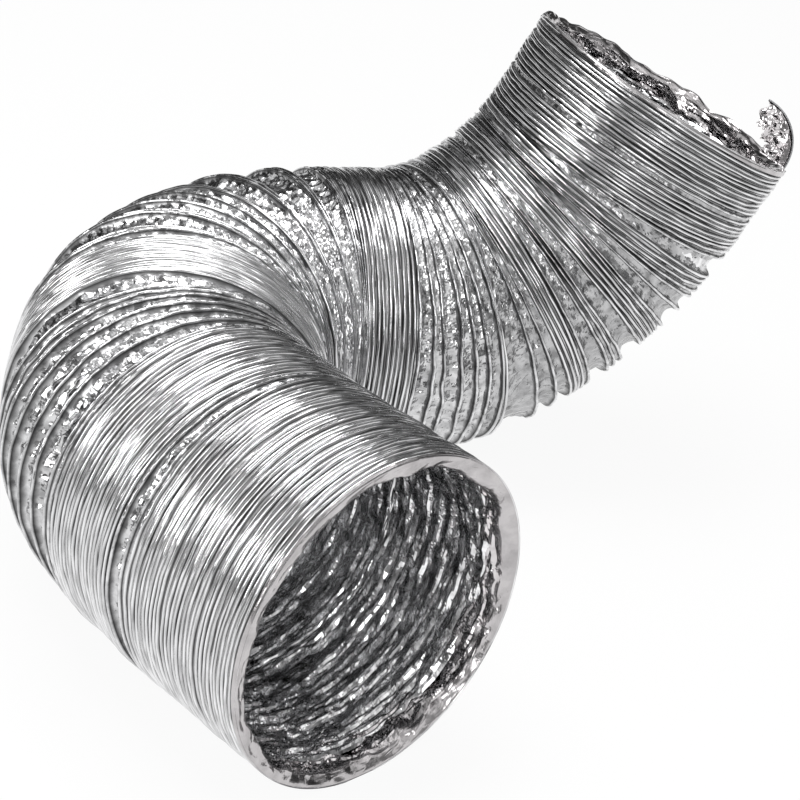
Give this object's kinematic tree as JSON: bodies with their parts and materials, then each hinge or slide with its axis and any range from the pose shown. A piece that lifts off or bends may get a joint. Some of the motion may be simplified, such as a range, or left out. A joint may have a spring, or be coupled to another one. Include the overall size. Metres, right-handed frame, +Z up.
{
  "type": "flexible air duct",
  "caption": "Flexible aluminium-foil air duct with a spring-wire helix, lying in a flat bend and rising to an upturned mouth.",
  "frame": {"origin": "centre of the front mouth, in the plane of its folded lip", "axes": "-Y out of the front mouth along the axis of the straight front leg, +Z up, the duct lies on the plane z = -0.0782 m"},
  "size_m": [0.4934, 0.334, 0.242],
  "materials": {
    "outer_foil": "crumpled bright aluminium foil over a ribbed wire helix",
    "inner_foil": "crinkled aluminium foil lining with a duller sheen",
    "pleat_foil": "creased foil stretched between two turns of wire",
    "hem_foil": "smooth flat foil hem, slightly crumpled at its edge",
    "spring_wire": "drawn high-carbon spring steel wire"
  },
  "bodies": {
    "front_leg": {"front_leg_outer_foil": "outer_foil", "front_leg_inner_foil": "inner_foil", "front_leg_wire": "spring_wire", "entry_pleat": "pleat_foil", "front_hem": "hem_foil"},
    "bend_entry": {"bend_entry_outer_foil": "outer_foil", "bend_entry_inner_foil": "inner_foil", "bend_entry_wire": "spring_wire", "first_fan_pleat": "pleat_foil", "first_fan_free_wire": "spring_wire"},
    "bend_middle": {"bend_middle_outer_foil": "outer_foil", "bend_middle_inner_foil": "inner_foil", "bend_middle_wire": "spring_wire", "second_fan_pleat": "pleat_foil", "second_fan_free_wire": "spring_wire"},
    "fan": {"fan_outer_foil": "outer_foil", "fan_inner_foil": "inner_foil", "fan_wire": "spring_wire", "third_fan_pleat": "pleat_foil", "third_fan_free_wire": "spring_wire"},
    "bend_exit": {"bend_exit_outer_foil": "outer_foil", "bend_exit_inner_foil": "inner_foil", "bend_exit_wire": "spring_wire", "lift_pleat": "pleat_foil", "lift_free_wire": "spring_wire"},
    "lift": {"lift_outer_foil": "outer_foil", "lift_inner_foil": "inner_foil", "lift_wire": "spring_wire", "first_riser_pleat": "pleat_foil", "first_riser_free_wire": "spring_wire"},
    "riser_lower": {"riser_lower_outer_foil": "outer_foil", "riser_lower_inner_foil": "inner_foil", "riser_lower_wire": "spring_wire", "second_riser_pleat": "pleat_foil", "second_riser_free_wire": "spring_wire"},
    "riser_middle": {"riser_middle_outer_foil": "outer_foil", "riser_middle_inner_foil": "inner_foil", "riser_middle_wire": "spring_wire", "third_riser_pleat": "pleat_foil", "third_riser_free_wire": "spring_wire"},
    "riser_upper": {"riser_upper_outer_foil": "outer_foil", "riser_upper_inner_foil": "inner_foil", "riser_upper_wire": "spring_wire", "rear_bend_pleat": "pleat_foil"},
    "rear_leg": {"rear_leg_outer_foil": "outer_foil", "rear_leg_inner_foil": "inner_foil", "rear_leg_wire": "spring_wire", "rear_leg_pleat": "pleat_foil"},
    "rear_collar": {"rear_collar_outer_foil": "outer_foil", "rear_collar_inner_foil": "inner_foil", "rear_collar_wire": "spring_wire", "rear_hem": "hem_foil"},
    "tail": {"tail_foil": "hem_foil", "tail_wire": "spring_wire"}
  },
  "joints": [
    {"name": "front_stretch", "type": "slide", "parent": "front_leg", "child": "bend_entry", "axis": [0.0393, 0.9992, 0], "range_m": [-0.001, 0.016], "deforming": ["entry_pleat"]},
    {"name": "first_fan_bend", "type": "hinge", "parent": "bend_entry", "child": "bend_middle", "pos_m": [0.08565, 0.13042, 0], "axis": [0, 0, -1], "range_deg": [-34, 30], "deforming": ["first_fan_pleat", "first_fan_free_wire"]},
    {"name": "second_fan_bend", "type": "hinge", "parent": "bend_middle", "child": "fan", "pos_m": [0.11799, 0.17136, 0], "axis": [0, 0, -1], "range_deg": [-39, 12], "deforming": ["second_fan_pleat", "second_fan_free_wire"]},
    {"name": "third_fan_bend", "type": "hinge", "parent": "fan", "child": "bend_exit", "pos_m": [0.13517, 0.175, 0], "axis": [0, 0, -1], "range_deg": [-38.5, 20], "deforming": ["third_fan_pleat", "third_fan_free_wire"]},
    {"name": "lift_bend", "type": "hinge", "parent": "bend_exit", "child": "lift", "pos_m": [0.22644, 0.27489, 0.06438], "axis": [-0.3503, -0.7183, 0.6011], "range_deg": [-16.35, 20], "deforming": ["lift_pleat", "lift_free_wire"]},
    {"name": "first_riser_bend", "type": "hinge", "parent": "lift", "child": "riser_lower", "pos_m": [0.21805, 0.20979, 0.08278], "axis": [-0.2299, -0.9557, -0.1838], "range_deg": [-20.42, 6], "deforming": ["first_riser_pleat", "first_riser_free_wire"]},
    {"name": "second_riser_bend", "type": "hinge", "parent": "riser_lower", "child": "riser_middle", "pos_m": [0.23563, 0.21481, 0.09423], "axis": [-0.3059, -0.9494, -0.0708], "range_deg": [-12.55, 20], "deforming": ["second_riser_pleat", "second_riser_free_wire"]},
    {"name": "third_riser_bend", "type": "hinge", "parent": "riser_middle", "child": "riser_upper", "pos_m": [0.24432, 0.19978, 0.10543], "axis": [-0.2095, -0.964, -0.164], "range_deg": [-13.5, 10], "deforming": ["third_riser_pleat", "third_riser_free_wire"]},
    {"name": "rear_bend", "type": "hinge", "parent": "riser_upper", "child": "rear_leg", "pos_m": [0.25606, 0.2162, 0.11692], "axis": [-0.4196, -0.9071, -0.034], "range_deg": [-6.52, 2], "deforming": ["rear_bend_pleat"]},
    {"name": "rear_stretch", "type": "slide", "parent": "rear_leg", "child": "rear_collar", "axis": [0.3696, -0.2049, 0.9063], "range_m": [-0.002, 0.021], "deforming": ["rear_leg_pleat"]},
    {"name": "tail_flap", "type": "hinge", "parent": "rear_collar", "child": "tail", "pos_m": [0.3786, 0.11408, 0.1019], "axis": [0.8002, 0.566, -0.1984], "range_deg": [0, 90]}
  ],
  "couplings": [
    {"joint": "first_fan_bend", "follows": "second_fan_bend", "ratio": 0.87179},
    {"joint": "third_fan_bend", "follows": "second_fan_bend", "ratio": 0.98718},
    {"joint": "lift_bend", "follows": "first_riser_bend", "ratio": 0.8007},
    {"joint": "second_riser_bend", "follows": "first_riser_bend", "ratio": 0.61483},
    {"joint": "third_riser_bend", "follows": "first_riser_bend", "ratio": 0.66126},
    {"joint": "rear_bend", "follows": "first_riser_bend", "ratio": 0.31919}
  ]
}
